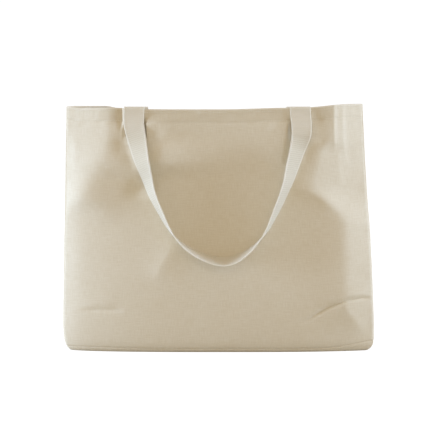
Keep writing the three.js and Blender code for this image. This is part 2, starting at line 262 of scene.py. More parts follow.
def front_folds(x, z):
    """Every fold and swell of the front panel, as a height above its plain form."""
    d = waves(x, z, 3, 170, 1.2)
    # the pucker left of the handle, and the soft dip it opens into
    d = d + crease(x, z, [(-150, 390), (-149.5, 366), (-151, 346)], 6.0, -3.6, right=0.6, ends=(0, 1))
    d = d + crease(x, z, [(-150, 372), (-150, 340), (-154, 300)], 9, -1.6, left=1.2, right=1.4)
    d = d + crease(x, z, [(-167, 395), (-167, 350), (-178, 300)], 9, 1.2, right=1.4, ends=(0, 1))
    d = d - 4.4 * MM * bell(x, z, (-212, 224), (18, 12))
    # the left handle lies along a slope, from a dip at its outer edge up to a ridge inside it
    dip = [(-147, 360), (-146, 338), (-141, 322), (-131, 295), (-122, 270)]
    reach = smoothstep(345 * MM, 326 * MM, z) * smoothstep(280 * MM, 305 * MM, z)
    d = d + crease(x, z, dip, 12, -6, left=1.7, right=1.3, ends=(0, 0)) * reach
    inner = [(-104, 385), (-100, 360), (-90, 335), (-89, 318), (-94, 290), (-98, 265)]
    reach = smoothstep(346 * MM, 312 * MM, z) * smoothstep(272 * MM, 304 * MM, z)
    d = d + crease(x, z, inner, 20, 19, left=2.2, right=3.4, ends=(0, 0)) * reach
    d = d + crease(x, z, [(-99, 374), (-96, 352), (-92, 328)], 12, 7.0, left=1.2, right=4.0)
    d = d - 7.0 * MM * bell(x, z, (-120, 260), (13, 9), 20)
    # the slope under the left of the handle's curve
    d = d + crease(x, z, [(-60, 186), (-73, 160), (-88, 135), (-100, 105)], 12, 3.6, left=3.0, right=1.2)
    # the same slope, less of it, inside the right handle
    dip = [(148, 360), (147, 338), (142, 322), (132, 290)]
    reach = smoothstep(345 * MM, 328 * MM, z) * smoothstep(292 * MM, 312 * MM, z)
    d = d + crease(x, z, dip, 10, -1.2, right=1.6, ends=(0, 0)) * reach
    d = d + crease(x, z, [(109, 374), (107, 345), (103, 320), (96, 290)], 9, 6.5, left=1.0, right=5.0)
    # the right side's upright edge, the hollow inside it and the short tuck below that
    d = d + crease(x, z, [(182, 395), (182, 350), (184, 312)], 4, 2.0, left=0.8, right=1.4, ends=(0, 1))
    d = d - 2.2 * MM * bell(x, z, (158, 368), (9, 9))
    d = d + crease(x, z, [(141, 333), (158, 329), (176, 321)], 3.0, 0.8, left=0.9, right=7.0)
    d = d + crease(x, z, [(141, 339), (156, 336), (171, 330)], 3.5, -0.8)
    d = d + crease(x, z, [(188, 330), (190, 290), (197, 250)], 9, 1.8, left=0.9, right=2.0)
    path = [(196, 395), (196, 350), (200, 312), (206, 285)]
    d = d + crease(x, z, path, 4, 2.2, left=0.8, right=6.0, ends=(0, 1))
    # a pleat in the middle of the hem
    d = d + crease(x, z, [(-24, 395), (-25, 378), (-26, 366)], 4.5, 1.8, left=2.5, right=1.3, ends=(0, 1))
    # the edge of the hollow under the right handle
    path = [(96, 262), (132, 258), (159, 247), (178, 234), (194, 218)]
    d = d + crease(x, z, path, 11, 3.6, left=2.6, right=1.1)
    # the corner folds, bottom right and bottom left
    path = [(122, 42), (148, 57), (171, 71), (187, 77), (203, 83), (217, 84.5), (252, 87)]
    d = d + crease(x, z, path, 2.3, -4.0, left=1.4, right=0.9, ends=(1, 0))
    path = [(168, 72), (185, 82), (205, 91), (252, 95)]
    d = d + crease(x, z, path, 8, 2.2, ends=(1, 0))
    d = d + crease(x, z, [(188, 82), (212, 58), (234, 24)], 10, 2.6, right=2.2)
    path = [(-224, 66), (-200, 66.5), (-180, 67), (-140, 67.5)]
    d = d + crease(x, z, path, 2.2, -2.8, left=1.8)
    d = d + crease(x, z, [(-225, 71), (-195, 75), (-150, 77)], 9, 1.2)
    return d


def back_folds(x, z):
    """The same for the back panel, in the bag's own left and right."""
    d = waves(x, z, 11, 170, 1.8)
    d = d + crease(x, z, [(-178, 395), (-176, 330), (-165, 250)], 14, 2.4, ends=(0, 1))
    d = d + crease(x, z, [(172, 395), (176, 340), (184, 300)], 10, 2.4, ends=(0, 1))
    d = d + crease(x, z, [(108, 366), (96, 320), (70, 270)], 12, 2.2)
    d = d + crease(x, z, [(-150, 48), (-190, 74), (-252, 88)], 7, 2.6, ends=(1, 0))
    d = d + crease(x, z, [(252, 96), (200, 80), (150, 84)], 6, 2.2, ends=(0, 1))
    return d


def facet(s, start, softness):
    """0 over a flat middle, then an even slope that reaches 1 at the edge."""
    slope = softness * np.logaddexp(0, (np.abs(s) - start) / softness)
    return slope / (softness * np.logaddexp(0, (1 - start) / softness))


def wall_face(side, s, z):
    """Outer face of the front or back panel, at share s across and height z."""
    across = -side * s
    worn = np.where(across < 0, corner_inset(LEFT, z), -corner_inset(RIGHT, z)) * across**6
    x = lean(z) + across * seam_half_width(z) + worn
    height = z / MM
    # the left side is rounded lower down, and turns back along a line higher up
    seam_flat = facet(s, SEAM_FLAT, SEAM_FLAT_SOFTNESS)
    rounded = mix(np.abs(s) ** ROUND_POWER[LEFT], seam_flat, SEAM_FLAT_WEIGHT)
    turned_back = facet(s, np.interp(height, *LEFT_TURN), TURN_SOFTNESS[LEFT])
    left = mix(rounded, turned_back, smoothstep(*LEFT_TURN_START, height))
    # the right side turns back along a line almost from the floor up
    turned_back = facet(s, np.interp(height, *RIGHT_TURN), TURN_SOFTNESS[RIGHT])
    right = mix(np.abs(s) ** ROUND_POWER[RIGHT], turned_back, smoothstep(*RIGHT_TURN_START, height))
    right = right * (1 - np.interp(height, *RIGHT_FORWARD))
    drop = np.where(s < 0, left, right)
    folds = front_folds if side == FRONT else back_folds
    fade = smoothstep(0, 0.07, 1 - np.abs(s)) * smoothstep(0, 16 * MM, z) * beside_straps(x, z)
    stand = seam_half_gap(z) + bow(z) * (1 - drop) + folds(x, z) * fade
    return np.stack(np.broadcast_arrays(x, side * stand, z), axis=-1)


def corner_y(front, side, z):
    """Where the upright seam stands, at the front or back, left or right."""
    return wall_face(front, np.full(np.shape(z), -front * side * 1.0), z)[..., 1]


def gusset_face(side, s, z):
    """Outer face of the left or right gusset. For the left one s runs from the back to the front."""
    up = np.clip(z / RIM, 0, 1)
    fold = mix(-GUSSET_BULGE, GUSSET_FOLD, up**2) * np.cos(s * math.pi / 2) ** 2
    edge = (1 - np.abs(s)) / GUSSET_ROLL_REACH
    roll = mix(GUSSET_ROLL_BASE, GUSSET_ROLL_RIM, smoothstep(0, 0.5, up)) * edge * np.exp(1 - edge)
    y = mix(corner_y(FRONT, side, z), corner_y(BACK, side, z), (1 + side * s) / 2)
    swell = waves(y, z, 20 + side, 130, 2.2) * smoothstep(0, 0.3, 1 - np.abs(s))
    x = lean(z) + side * (seam_half_width(z) - corner_inset(side, z) - fold + roll + swell)
    return np.stack(np.broadcast_arrays(x, y, z), axis=-1)


def front_rim(x):
    """Height of the front rim: it sags between the handles and towards the left corner."""
    x = x / MM
    left = 2.8 * smoothstep(105, 172, -x) - 1.0 * np.exp(-(((x + 204) / 20) ** 2))
    left = left + 2.0 * smoothstep(216, 236, -x)
    right = 2.4 * smoothstep(10, 110, x) + 6.2 * smoothstep(126, 214, x)
    return RIM + (left + right) * MM


def back_rim(x):
    """Height of the back rim: raised at both corners, and lowest in the middle."""
    x = x / MM
    return RIM + (5.2 * smoothstep(150, 185, np.abs(x)) - 0.8 * smoothstep(110, 20, np.abs(x))) * MM


def base_seam_height(x):
    """The base turns up a little before it meets the walls, more at the right."""
    return (6 + 11 * smoothstep(165, 255, x / MM) + 1.5 * smoothstep(100, 205, -x / MM)) * MM


# The rim and the base seam of each wall, as heights at share s across it
def panel_rim(side, s):
    x = lean(RIM) - side * s * SEAM_HALF_WIDTH_RIM
    return front_rim(x) if side == FRONT else back_rim(x)


def panel_seam(side, s):
    return base_seam_height(LEAN_BASE - side * s * SEAM_HALF_WIDTH_BASE)


def gusset_rim(side, s):
    corner = np.array(lean(RIM) + side * SEAM_HALF_WIDTH_RIM)
    height = mix(front_rim(corner), back_rim(corner), (1 + side * s) / 2)
    return height - GUSSET_SAG * np.cos(s * math.pi / 2) ** 2


def gusset_seam(side, s):
    return base_seam_height(np.full_like(s, side * SEAM_HALF_WIDTH_BASE))


def behind(face, s, z, depth):
    """Points a depth behind a face's outer side."""
    step_across, step_up = 0.002, 0.4 * MM
    along = face(s + step_across, z) - face(s - step_across, z)
    up = face(s, z + step_up) - face(s, z - step_up)
    normal = np.cross(along, up)
    normal /= np.linalg.norm(normal, axis=-1, keepdims=True)
    return face(s, z) - normal * depth[..., None]


# ---------------------------------------------------------------- sheets of cloth
def spaced(low, high, count, places, reach, more):
    """Numbers from low to high, closer together within a reach of some places."""
    fine = np.linspace(low, high, 2000)
    weight = np.ones_like(fine) + more * sum(np.exp(-(((fine - place) / reach) ** 2)) for place in places)
    share = np.concatenate([[0], np.cumsum((weight[1:] + weight[:-1]) / 2)])
    return np.interp(np.linspace(0, share[-1], count), share, fine)


def surface_normals(points):
    normal = np.cross(np.gradient(points, axis=0), np.gradient(points, axis=1))
    return normal / np.linalg.norm(normal, axis=-1, keepdims=True)


def make_piece(name, points, faces, uv=None, wear_and_painted_shading=None, sharp=50):
    """A mesh object whose place is in its mesh. uv and wear_and_painted_shading hold a value for each point:
    up to 1 where the cloth is worn pale, and on the webbing where painted light lifts its shade; below 0
    where the hem has painted shade."""
    mesh = bpy.data.meshes.new(name)
    mesh.from_pydata(points.tolist(), [], faces)
    corners = np.zeros(len(mesh.loops), np.int32)
    mesh.loops.foreach_get("vertex_index", corners)
    if uv is not None:
        layer = mesh.uv_layers.new(name="cloth")
        layer.data.foreach_set("uv", uv[corners].astype(np.float32).ravel())
    if wear_and_painted_shading is not None:
        attribute = mesh.attributes.new("wear_and_painted_shading", "FLOAT", "POINT")
        attribute.data.foreach_set("value", wear_and_painted_shading.astype(np.float32))
    mesh.shade_smooth()
    mesh.set_sharp_from_angle(angle=math.radians(sharp))
    mesh.validate()
    piece = bpy.data.objects.new(name, mesh)
    bpy.context.scene.collection.objects.link(piece)
    return piece


def sheet_piece(name, middle, thickness, uv, wear_and_painted_shading=None):
    """A closed sheet of cloth around a grid of points, whose faces look along its outward side."""
    columns, rows = middle.shape[:2]
    offset = surface_normals(middle) * (thickness / 2)
    points = np.concatenate([(middle + offset).reshape(-1, 3), (middle - offset).reshape(-1, 3)])
    under = columns * rows
    index = np.arange(under).reshape(columns, rows)
    a, b, c, d = index[:-1, :-1], index[1:, :-1], index[1:, 1:], index[:-1, 1:]
    quads = [np.stack([a, b, c, d], -1), np.stack([a, d, c, b], -1) + under]
    for first, second in (
        (index[:-1, 0], index[1:, 0]),
        (index[-1, :-1], index[-1, 1:]),
        (index[1:, -1], index[:-1, -1]),
        (index[0, 1:], index[0, :-1]),
    ):
        quads.append(np.stack([second, first, first + under, second + under], -1))
    faces = np.concatenate([q.reshape(-1, 4) for q in quads])
    uv = np.concatenate([uv.reshape(-1, 2)] * 2)
    wear_and_painted_shading = None if wear_and_painted_shading is None else np.concatenate([wear_and_painted_shading.ravel()] * 2)
    return make_piece(name, points, faces.tolist(), uv, wear_and_painted_shading)


def mesh_across(half_width, columns, places=()):
    """Shares across a wall, closer together along its sewn edges and near some places."""
    edge = EDGE_LINES / half_width
    margin = EDGE_MARGIN / half_width
    inner = spaced(margin - 1, 1 - margin, columns, places, 0.05, 1.2)
    return np.concatenate([edge - 1, inner, (1 - edge)[::-1]])[:, None]


def hemmed_length(top, low):
    """Heights and depths along one length of cloth, from the base seam up the wall, over the rim and down
    inside it to the hem's tucked edge. Also how many of its rows lie on the outer side."""
    climb = np.concatenate([[0, 0.0012, 0.003, 0.006, 0.01], spaced(0.018, 1, WALL_LINES, (0.19,), 0.1, 1.4)])
    wall = mix(low, top - HEM_GRID, climb[None, :])
    hem = top - np.linspace(HEM_GRID, HEM_TURN, HEM_LINES)[None, 1:]
    turn = np.linspace(0, math.pi, TURN_LINES)[None, 1:]
    over = top - HEM_TURN + HEM_TURN * np.sin(turn)
    inside = top - np.linspace(HEM_TURN, HEM_DEPTH, INSIDE_LINES)[None, 1:]
    tuck = np.linspace(0, math.pi / 2, TUCK_LINES)[None, 1:]
    tucked = top - HEM_DEPTH - HEM_TUCK * np.sin(tuck)
    heights = np.concatenate([wall, hem, over, inside, tucked], axis=1)
    outer_rows = wall.shape[1] + hem.shape[1]
    inner_side = HEM_THICKNESS - PLY / 2
    depths = np.concatenate(
        [
            np.full((1, outer_rows), PLY / 2),
            HEM_THICKNESS / 2 - HEM_TURN * np.cos(turn),
            np.full((1, inside.shape[1]), inner_side),
            inner_side - HEM_TUCK * (1 - np.cos(tuck)),
        ],
        axis=1,
    )
    return heights, depths, outer_rows


def stitched_relief(place, drop, outside):
    """How far in the thread pulls the cloth along the hem's rows, and how it ruffles beside them."""
    dents = sum(dent * np.exp(-(((drop - row) / width) ** 2)) for row, width, dent, _ in (ROW_EDGE, ROW_LOW))
    between = smoothstep(1 * MM, 9 * MM, drop) * smoothstep(21 * MM, 15 * MM, drop)
    ruffle = 0.16 * waves(place, place * 0, 5, 19, 3.2, 6) * between
    fading = np.exp(-np.clip(drop - ROW_LOW[0], 0, 1) / (9 * MM))
    under_row = smoothstep(19 * MM, 24 * MM, drop) * fading * outside
    under_ruffle = 0.42 * waves(place + drop * 0.4, drop, 6, 26, 3.4, 6) * under_row
    return dents + ruffle + under_ruffle


def hemmed_sheet(name, face, half_width, rim, seam, s):
    """A wall of the bag as one length of cloth, on mesh lines at shares s across it."""
    top, low = rim(s), seam(s)
    z, depth, outer_rows = hemmed_length(top, low)
    place, drop = s * half_width, top - z
    # the outer side ends halfway over the rim
    outside = np.arange(z.shape[1])[None, :] < outer_rows + TURN_LINES // 2
    depth = depth + np.where(outside, 1.0, -1.0) * stitched_relief(place, drop, outside)

    roll = quarter_round((1 - np.abs(s)) * half_width, SIDE_ROLL)
    roll_low = quarter_round(z - low, BASE_ROLL)
    depth = depth + ROLL_DEPTH * np.maximum(roll, roll_low)

    middle = behind(face, s * np.ones_like(z), z, depth)
    step = np.linalg.norm(np.diff(middle, axis=1), axis=-1)
    along = np.concatenate([low, low + np.cumsum(step, axis=1)], axis=1)
    uv = np.stack([place * np.ones_like(z), along], axis=-1)
    # worn pale over the rim and along the sewn edges, and painted shade darkening the middle of the hem
    fold = np.exp(-(((along - along[:, outer_rows + 2][:, None]) / (2.0 * MM)) ** 2))
    wear_and_painted_shading = np.clip(fold + 0.2 * roll + 0.5 * roll_low, 0, 1)
    painted_hem_shade = smoothstep(22 * MM, 20 * MM, drop) * smoothstep(0.84, 0.72, np.abs(s))
    return sheet_piece(name, middle, PLY, uv, mix(-painted_hem_shade, 1, wear_and_painted_shading))


def panel(side, node):
    """The front or back panel, with more mesh lines beside the handles."""
    s = mesh_across(SEAM_HALF_WIDTH_BASE, 231, (-0.62, 0.76))
    face, rim, seam = (partial(form, side) for form in (wall_face, panel_rim, panel_seam))
    piece = hemmed_sheet(node + "_cloth", face, SEAM_HALF_WIDTH_BASE, rim, seam, s)
    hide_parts(node)
    return piece


def gusset(side, node):
    """The left or right gusset."""
    s = mesh_across(HALF_GAP_BASE, 49)
    face, rim, seam = (partial(form, side) for form in (gusset_face, gusset_rim, gusset_seam))
    piece = hemmed_sheet(node + "_cloth", face, HALF_GAP_BASE, rim, seam, s)
    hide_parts(node)
    return piece


def base_ring(share):
    """The base's cloth all round the bag, at a share of the way up to its seam."""
    long, short = np.linspace(-1, 1, 121)[:-1], np.linspace(-1, 1, 25)[:-1]
    return np.concatenate(
        [
            wall_face(FRONT, long, panel_seam(FRONT, long) * share),
            gusset_face(RIGHT, short, gusset_seam(RIGHT, short) * share),
            wall_face(BACK, long, panel_seam(BACK, long) * share),
            gusset_face(LEFT, short, gusset_seam(LEFT, short) * share),
        ]
    )


def base(node):
    """The base: flat on the floor, rounded up to the seam on all four sides."""
    rings = [base_ring(share) for share in (1.0, 0.93, 0.8, 0.64, 0.48, 0.33, 0.2, 0.1, 0.04, 0.0)]
    floor_edge = rings[-1]
    for share in np.linspace(0, 1, 12)[1:]:
        flat = floor_edge.copy()
        flat[:, 0] = LEAN_BASE + (flat[:, 0] - LEAN_BASE) * mix(1, 0.82, share)
        flat[:, 1] *= 1 - share
        rings.append(flat)
    outer = np.array(rings)
    count = outer.shape[1]
    closed = np.concatenate([outer, outer[:, :1]], axis=1)
    normal = surface_normals(closed)[:, :count]
    # the top edge tucks in under the walls
    tuck = np.zeros(len(rings))
    tuck[:2] = 1.2 * MM, 0.3 * MM
    outer = outer - normal * tuck[:, None, None]
    inner = outer - normal * PLY
    points = np.concatenate([outer.reshape(-1, 3), inner.reshape(-1, 3)])
    index = np.arange(len(rings) * count).reshape(len(rings), count)
    following = np.roll(index, -1, axis=1)
    a, b, c, d = index[:-1], following[:-1], following[1:], index[1:]
    under = index.size
    faces = np.concatenate(
        [
            np.stack([a, d, c, b], -1).reshape(-1, 4),
            np.stack([a, b, c, d], -1).reshape(-1, 4) + under,
            np.stack([index[0], following[0], following[0] + under, index[0] + under], -1),
        ]
    )
    # the turned-up edge has a little more cloth than the floor under it
    spread = np.repeat(1 + 0.0005 * np.arange(len(rings))[::-1], count)
    uv = points[:, :2] * np.tile(spread, 2)[:, None]
    piece = make_piece(node + "_cloth", points, faces.tolist(), uv, np.zeros(len(points)))
    weld(piece)
    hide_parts(node)
    return piece


def weld(piece):
    """Joins the points that meet along the middle of the base."""
    work = bmesh.new()
    work.from_mesh(piece.data)
    bmesh.ops.remove_doubles(work, verts=work.verts, dist=2e-6)
    bmesh.ops.recalc_face_normals(work, faces=work.faces)
    work.to_mesh(piece.data)
    work.free()
    piece.data.shade_smooth()
    piece.data.set_sharp_from_angle(angle=math.radians(50))


def allowance(node, corners, inwards, seed):
    """Two plies standing inside a corner, a little wavy along their bound edge. Also that edge, and which
    way the cloth faces there."""
    steps = np.linspace(0, 1, 6)
    length = np.concatenate([[0], np.cumsum(np.linalg.norm(np.diff(corners, axis=0), axis=1))])
    run = np.gradient(corners, axis=0)
    run /= np.linalg.norm(run, axis=1, keepdims=True)
    inwards = np.tile(inwards / np.linalg.norm(inwards), (len(corners), 1))
    through = np.cross(run, inwards)
    ruffle = waves(length, length * 0, seed, 60, 2.6, 5)
    middle = np.zeros((len(corners), len(steps), 3))
    for k, share in enumerate(steps):
        stand = SEAM_START + SEAM_REACH * share
        middle[:, k] = corners + inwards * stand + through * (ruffle * share**2)[:, None]
    uv = np.stack(np.meshgrid(length, steps * SEAM_WIDTH, indexing="ij"), axis=-1)
    piece = sheet_piece(node + "_allowance", middle, SEAM_THICKNESS, uv, np.zeros(middle.shape[:2]))
    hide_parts(node)
    return piece, middle[:, -1] - inwards * SEAM_BINDING, through


# ---------------------------------------------------------------- webbing
def smoothed(values, spacing, softness):
    """Values along a path, smoothed over a distance, with their ends held in place."""
    reach = int(3 * softness / spacing) + 1
    kernel = np.exp(-0.5 * ((np.arange(-reach, reach + 1) * spacing) / softness) ** 2)
    kernel /= kernel.sum()
    head = 2 * values[0] - values[1 : reach + 1][::-1]
    tail = 2 * values[-1] - values[-reach - 1 : -1][::-1]
    padded = np.concatenate([head, values, tail])
    if values.ndim == 1:
        return np.convolve(padded, kernel, "valid")
    return np.stack([np.convolve(padded[:, k], kernel, "valid") for k in range(values.shape[1])], 1)


def webbing_outline():
    """Webbing's section as shares of its half width, and distances through it."""
    half = np.array([0.3, 0.6, 0.8, 0.86, 0.91, 0.955, 0.985, 1])
    across = np.concatenate([-half[::-1], [0], half])
    thick = STRAP_THICKNESS / 2 * np.array([0.25, 0.72, 0.96, 1.0, 0.93, 0.84, 0.86, 0.88, 0.88])
    thick = np.concatenate([thick, thick[:-1][::-1]])
    across = np.concatenate([across, across[::-1]])
    through = np.concatenate([thick, -thick[::-1]])
    return across, through


def webbing_piece(name, centres, widths, normals, start=0.0):
    """A length of webbing through a row of centres. start is how far along the strap it begins."""
    across, through = webbing_outline()
    points = (
        centres[:, None, :]
        + widths[:, None, :] * (across * STRAP_WIDTH / 2)[None, :, None]
        + normals[:, None, :] * through[None, :, None]
    )
    count, sides = points.shape[:2]
    index = np.arange(count * sides).reshape(count, sides)
    following = np.roll(index, -1, axis=1)
    quads = np.stack([index[:-1], following[:-1], following[1:], index[1:]], -1).reshape(-1, 4)
    faces = quads.tolist()
    faces.append(index[0][::-1].tolist())
    faces.append(index[-1].tolist())
    flat = points.reshape(-1, 3)
    along = start + np.concatenate([[0], np.cumsum(np.linalg.norm(np.diff(centres, axis=0), axis=1))])
    uv = np.zeros((count, sides, 2))
    uv[..., 0] = across * STRAP_WIDTH / 2
    uv[..., 1] = along[:, None]
    # worn pale along the selvedges; near the rim and where the handle is held, partly worn pale and partly
    # painted light that lifts the shade there
    near_rim = smoothstep(48 * MM, 22 * MM, np.minimum(np.abs(along), np.abs(along - max(along[-1], 0))))
    in_hand = smoothstep(115 * MM, 70 * MM, np.abs(along - along[-1] / 2))
    rubbed_and_painted_light = np.maximum(0.85 * near_rim, 0.75 * in_hand)
    wear_and_painted_shading = np.maximum(smoothstep(0.82, 0.93, np.abs(across))[None, :], rubbed_and_painted_light[:, None])
    volume = np.einsum("ij,ij->", np.cross(flat[quads[:, 0]], flat[quads[:, 1]]), flat[quads[:, 2]])
    if volume < 0:
        faces = [f[::-1] for f in faces]
    return make_piece(name, flat, faces, uv.reshape(-1, 2), wear_and_painted_shading.ravel(), sharp=80)


def handle_route():
    """Places across, drops below the hinge and turns from facing forwards, evenly spaced along the
    hanging handle. Also that spacing."""
    stops = np.array(HANDLE_PATH, float)
    rough = np.stack([stops[:, 0] * HALF_SPACING, stops[:, 1] * HANDLE_DROP], 1)
    along = np.concatenate([[0], np.cumsum(np.linalg.norm(np.diff(rough, axis=0), axis=1))])
    places = np.linspace(0, along[-1], int(along[-1] / HANDLE_STEP) + 1)
    spacing = places[1]
    route = np.stack([np.interp(places, along, rough[:, k]) for k in (0, 1)], 1)
    x, drop = smoothed(route, spacing, 9 * MM).T
    turn = smoothed(np.radians(np.interp(places, along, stops[:, 2])), spacing, 6 * MM)
    turn[drop < 5 * MM] = 0
    return x, drop, turn, spacing


def handle_frame(side):
    """Centres, width directions and normals of a hanging handle, as it would be at the front."""
    x, drop, turn, spacing = handle_route()
    centres = np.stack([x, np.zeros_like(x), HINGE.z - drop], 1)
    tangent = np.gradient(centres, axis=0)
    tangent /= np.linalg.norm(tangent, axis=1, keepdims=True)
    forwards = np.array([0.0, -1.0, 0.0])
    outwards = np.cross(tangent, forwards)
    outwards /= np.linalg.norm(outwards, axis=1, keepdims=True)
    # the top hangs plumb out of the fold
    plumb = smoothstep(16 * MM, 5 * MM, drop)[:, None]
    outwards = mix(outwards, np.sign(x)[:, None] * np.array([1.0, 0.0, 0.0]), plumb)
    outwards /= np.linalg.norm(outwards, axis=1, keepdims=True)
    tangent = np.cross(forwards, outwards)
    front = np.tile(forwards, (len(x), 1))
    sin, cos = np.sin(turn)[:, None], np.cos(turn)[:, None]
    widths = front * sin - outwards * cos
    normals = front * cos + outwards * sin
    # each section moves forwards until it just clears the cloth
    across, through = webbing_outline()
    points = widths[:, None, :] * (across * STRAP_WIDTH / 2)[None, :, None] + centres[:, None, :]
    points = points + normals[:, None, :] * through[None, :, None]
    share = (points[..., 0] + side * lean(points[..., 2])) / seam_half_width(points[..., 2])
    cloth = -side * wall_face(side, share, points[..., 2])[..., 1]
    room = (cloth - points[..., 1]).min(axis=1)
    y = room - mix(STRAP_CLEARANCE, SETTLED_CLEARANCE, smoothstep(5 * MM, 45 * MM, drop))
    settled = smoothed(y, spacing, 7 * MM)
    lift = np.clip((settled - y).max() - 0.2 * MM, 0, 1)
    settled = settled - lift * smoothstep(10 * MM, 36 * MM, drop)
    # the right leg stands out to a sharp crease, then drops back to the cloth
    proud = np.interp(drop / MM, [6, 40, 60], [0, 4, 0]) * MM
    settled = settled - np.where(x > 0, proud, 0)
    out_of_fold = smoothstep(6 * MM, 18 * MM, drop)
    centres[:, 1] = mix(HINGE.y - FOLD_RADIUS, settled, out_of_fold)
    return centres, widths, normals


def strap_end(side):
    """Centres, widths and normals from the sewn end, up inside the hem and over the rim."""
    x = side * HALF_SPACING
    up = np.linspace(SEWN_LENGTH, 0, 20)[:-1]
    angles = np.linspace(math.pi, 0, 17)
    y = np.concatenate([np.full(len(up), HINGE.y + FOLD_RADIUS), HINGE.y - FOLD_RADIUS * np.cos(angles)])
    z = np.concatenate([HINGE.z - up, HINGE.z + FOLD_RADIUS * np.sin(angles)])
    ny = np.concatenate([np.full(len(up), 1.0), -np.cos(angles)])
    nz = np.concatenate([np.full(len(up), 0.0), np.sin(angles)])
    centres = np.stack([np.full(len(y), x), y, z], 1)
    normals = np.stack([np.zeros(len(y)), ny, nz], 1)
    widths = np.tile(np.array([[1.0, 0.0, 0.0]]), (len(y), 1))
    return centres, widths, normals


def turned(points, side):
    """The same points on the front, or turned half round to the back."""
    return points if side == FRONT else points * np.array([-1.0, -1.0, 1.0])


# ---------------------------------------------------------------- nodes and materials
def add_node(tree, kind, settings=None, values=None):
    """A node with its settings, and then the values or links of its sockets."""
    made = tree.nodes.new(kind)
    for key, value in (settings or {}).items():
        setattr(made, key, value)
    for key, value in (values or {}).items():
        if isinstance(value, Value):
            value = value.socket
        if isinstance(value, bpy.types.NodeSocket):
            tree.links.new(value, made.inputs[key])
        else:
            made.inputs[key].default_value = value
    return made


class Value:
    """A number in a material, so that its maths can be written as an expression."""

    def __init__(self, shader, socket):
        self.shader, self.socket = shader, socket

    def __add__(self, other):
        return self.shader.math("ADD", self, other)

    def __sub__(self, other):
        return self.shader.math("SUBTRACT", self, other)

    def __rsub__(self, other):
        return self.shader.math("SUBTRACT", other, self)

    def __mul__(self, other):
        return self.shader.math("MULTIPLY", self, other)

    __radd__ = __add__
    __rmul__ = __mul__

    def sin(self):
        return self.shader.math("SINE", self)

    def size(self):
        return self.shader.math("ABSOLUTE", self)

    def over(self, other):
        return self.shader.math("MAXIMUM", self, other)

    def ramp(self, low, high, start=0.0, end=1.0):
        """start below low, end above high, and a smooth step between them."""
        settings = {"interpolation_type": "SMOOTHSTEP"}
        values = {"Value": self, "From Min": low, "From Max": high, "To Min": start, "To Max": end}
        return Value(self.shader, self.shader.node("ShaderNodeMapRange", settings, values).outputs["Result"])


class Shader:
    """Builds one material's nodes."""

    def __init__(self, name):
        self.material = bpy.data.materials.new(name)
        self.material.use_nodes = True
        self.tree = self.material.node_tree
        self.tree.nodes.clear()

    def node(self, kind, settings=None, values=None):
        return add_node(self.tree, kind, settings, values)

    def math(self, operation, *values):
        made = self.node("ShaderNodeMath", {"operation": operation}, dict(enumerate(values)))
        return Value(self, made.outputs[0])

    def cloth_place(self):
        """Millimetres along the cloth's weft and its warp."""
        uv = self.node("ShaderNodeUVMap", {"uv_map": "cloth"}).outputs["UV"]
        parts = self.node("ShaderNodeSeparateXYZ", None, {"Vector": uv})
        return Value(self, parts.outputs["X"]) * 1000.0, Value(self, parts.outputs["Y"]) * 1000.0

    def point(self, x, y, z=0.0):
        """A place for a pattern, from its three values."""
        return self.node("ShaderNodeCombineXYZ", None, {"X": x, "Y": y, "Z": z}).outputs["Vector"]

    def noise(self, place, scale, detail=2.0, roughness=0.5):
        """Soft random values about 0.5."""
        values = {"Vector": place, "Scale": scale, "Detail": detail, "Roughness": roughness}
        return Value(self, self.node("ShaderNodeTexNoise", None, values).outputs[0])

    def here(self):
        """The place on the object, in metres."""
        return self.node("ShaderNodeTexCoord").outputs["Object"]

    def attribute(self, name):
        """A value that the mesh holds for each point."""
        return Value(self, self.node("ShaderNodeAttribute", {"attribute_name": name}).outputs["Fac"])

    def blend(self, share, first, second):
        """A colour between two others."""
        values = {0: share, 6: first, 7: second}
        settings = {"data_type": "RGBA", "clamp_factor": True}
        return self.node("ShaderNodeMix", settings, values).outputs[2]

    def finish(self, colour, roughness, height, depth, sheen):
        """The surface itself. depth is the relief's height in metres."""
        relief = self.node("ShaderNodeBump", None, {"Strength": 1.0, "Distance": depth, "Height": height})
        values = {
            "Base Color": colour,
            "Roughness": roughness,
            "Normal": relief.outputs["Normal"],
            "Sheen Weight": sheen,
            "Sheen Roughness": 0.45,
            "Specular IOR Level": 0.25,
        }
        surface = self.node("ShaderNodeBsdfPrincipled", None, values)
        self.node("ShaderNodeOutputMaterial", None, {"Surface": surface.outputs["BSDF"]})
        return self.material


def rgb(red, green, blue):
    """A colour as it looks on screen, 0 to 255, for a shader."""
    share = (np.array([red, green, blue]) / 255.0).tolist()
    return tuple(c / 12.92 if c < 0.04045 else ((c + 0.055) / 1.055) ** 2.4 for c in share) + (1.0,)


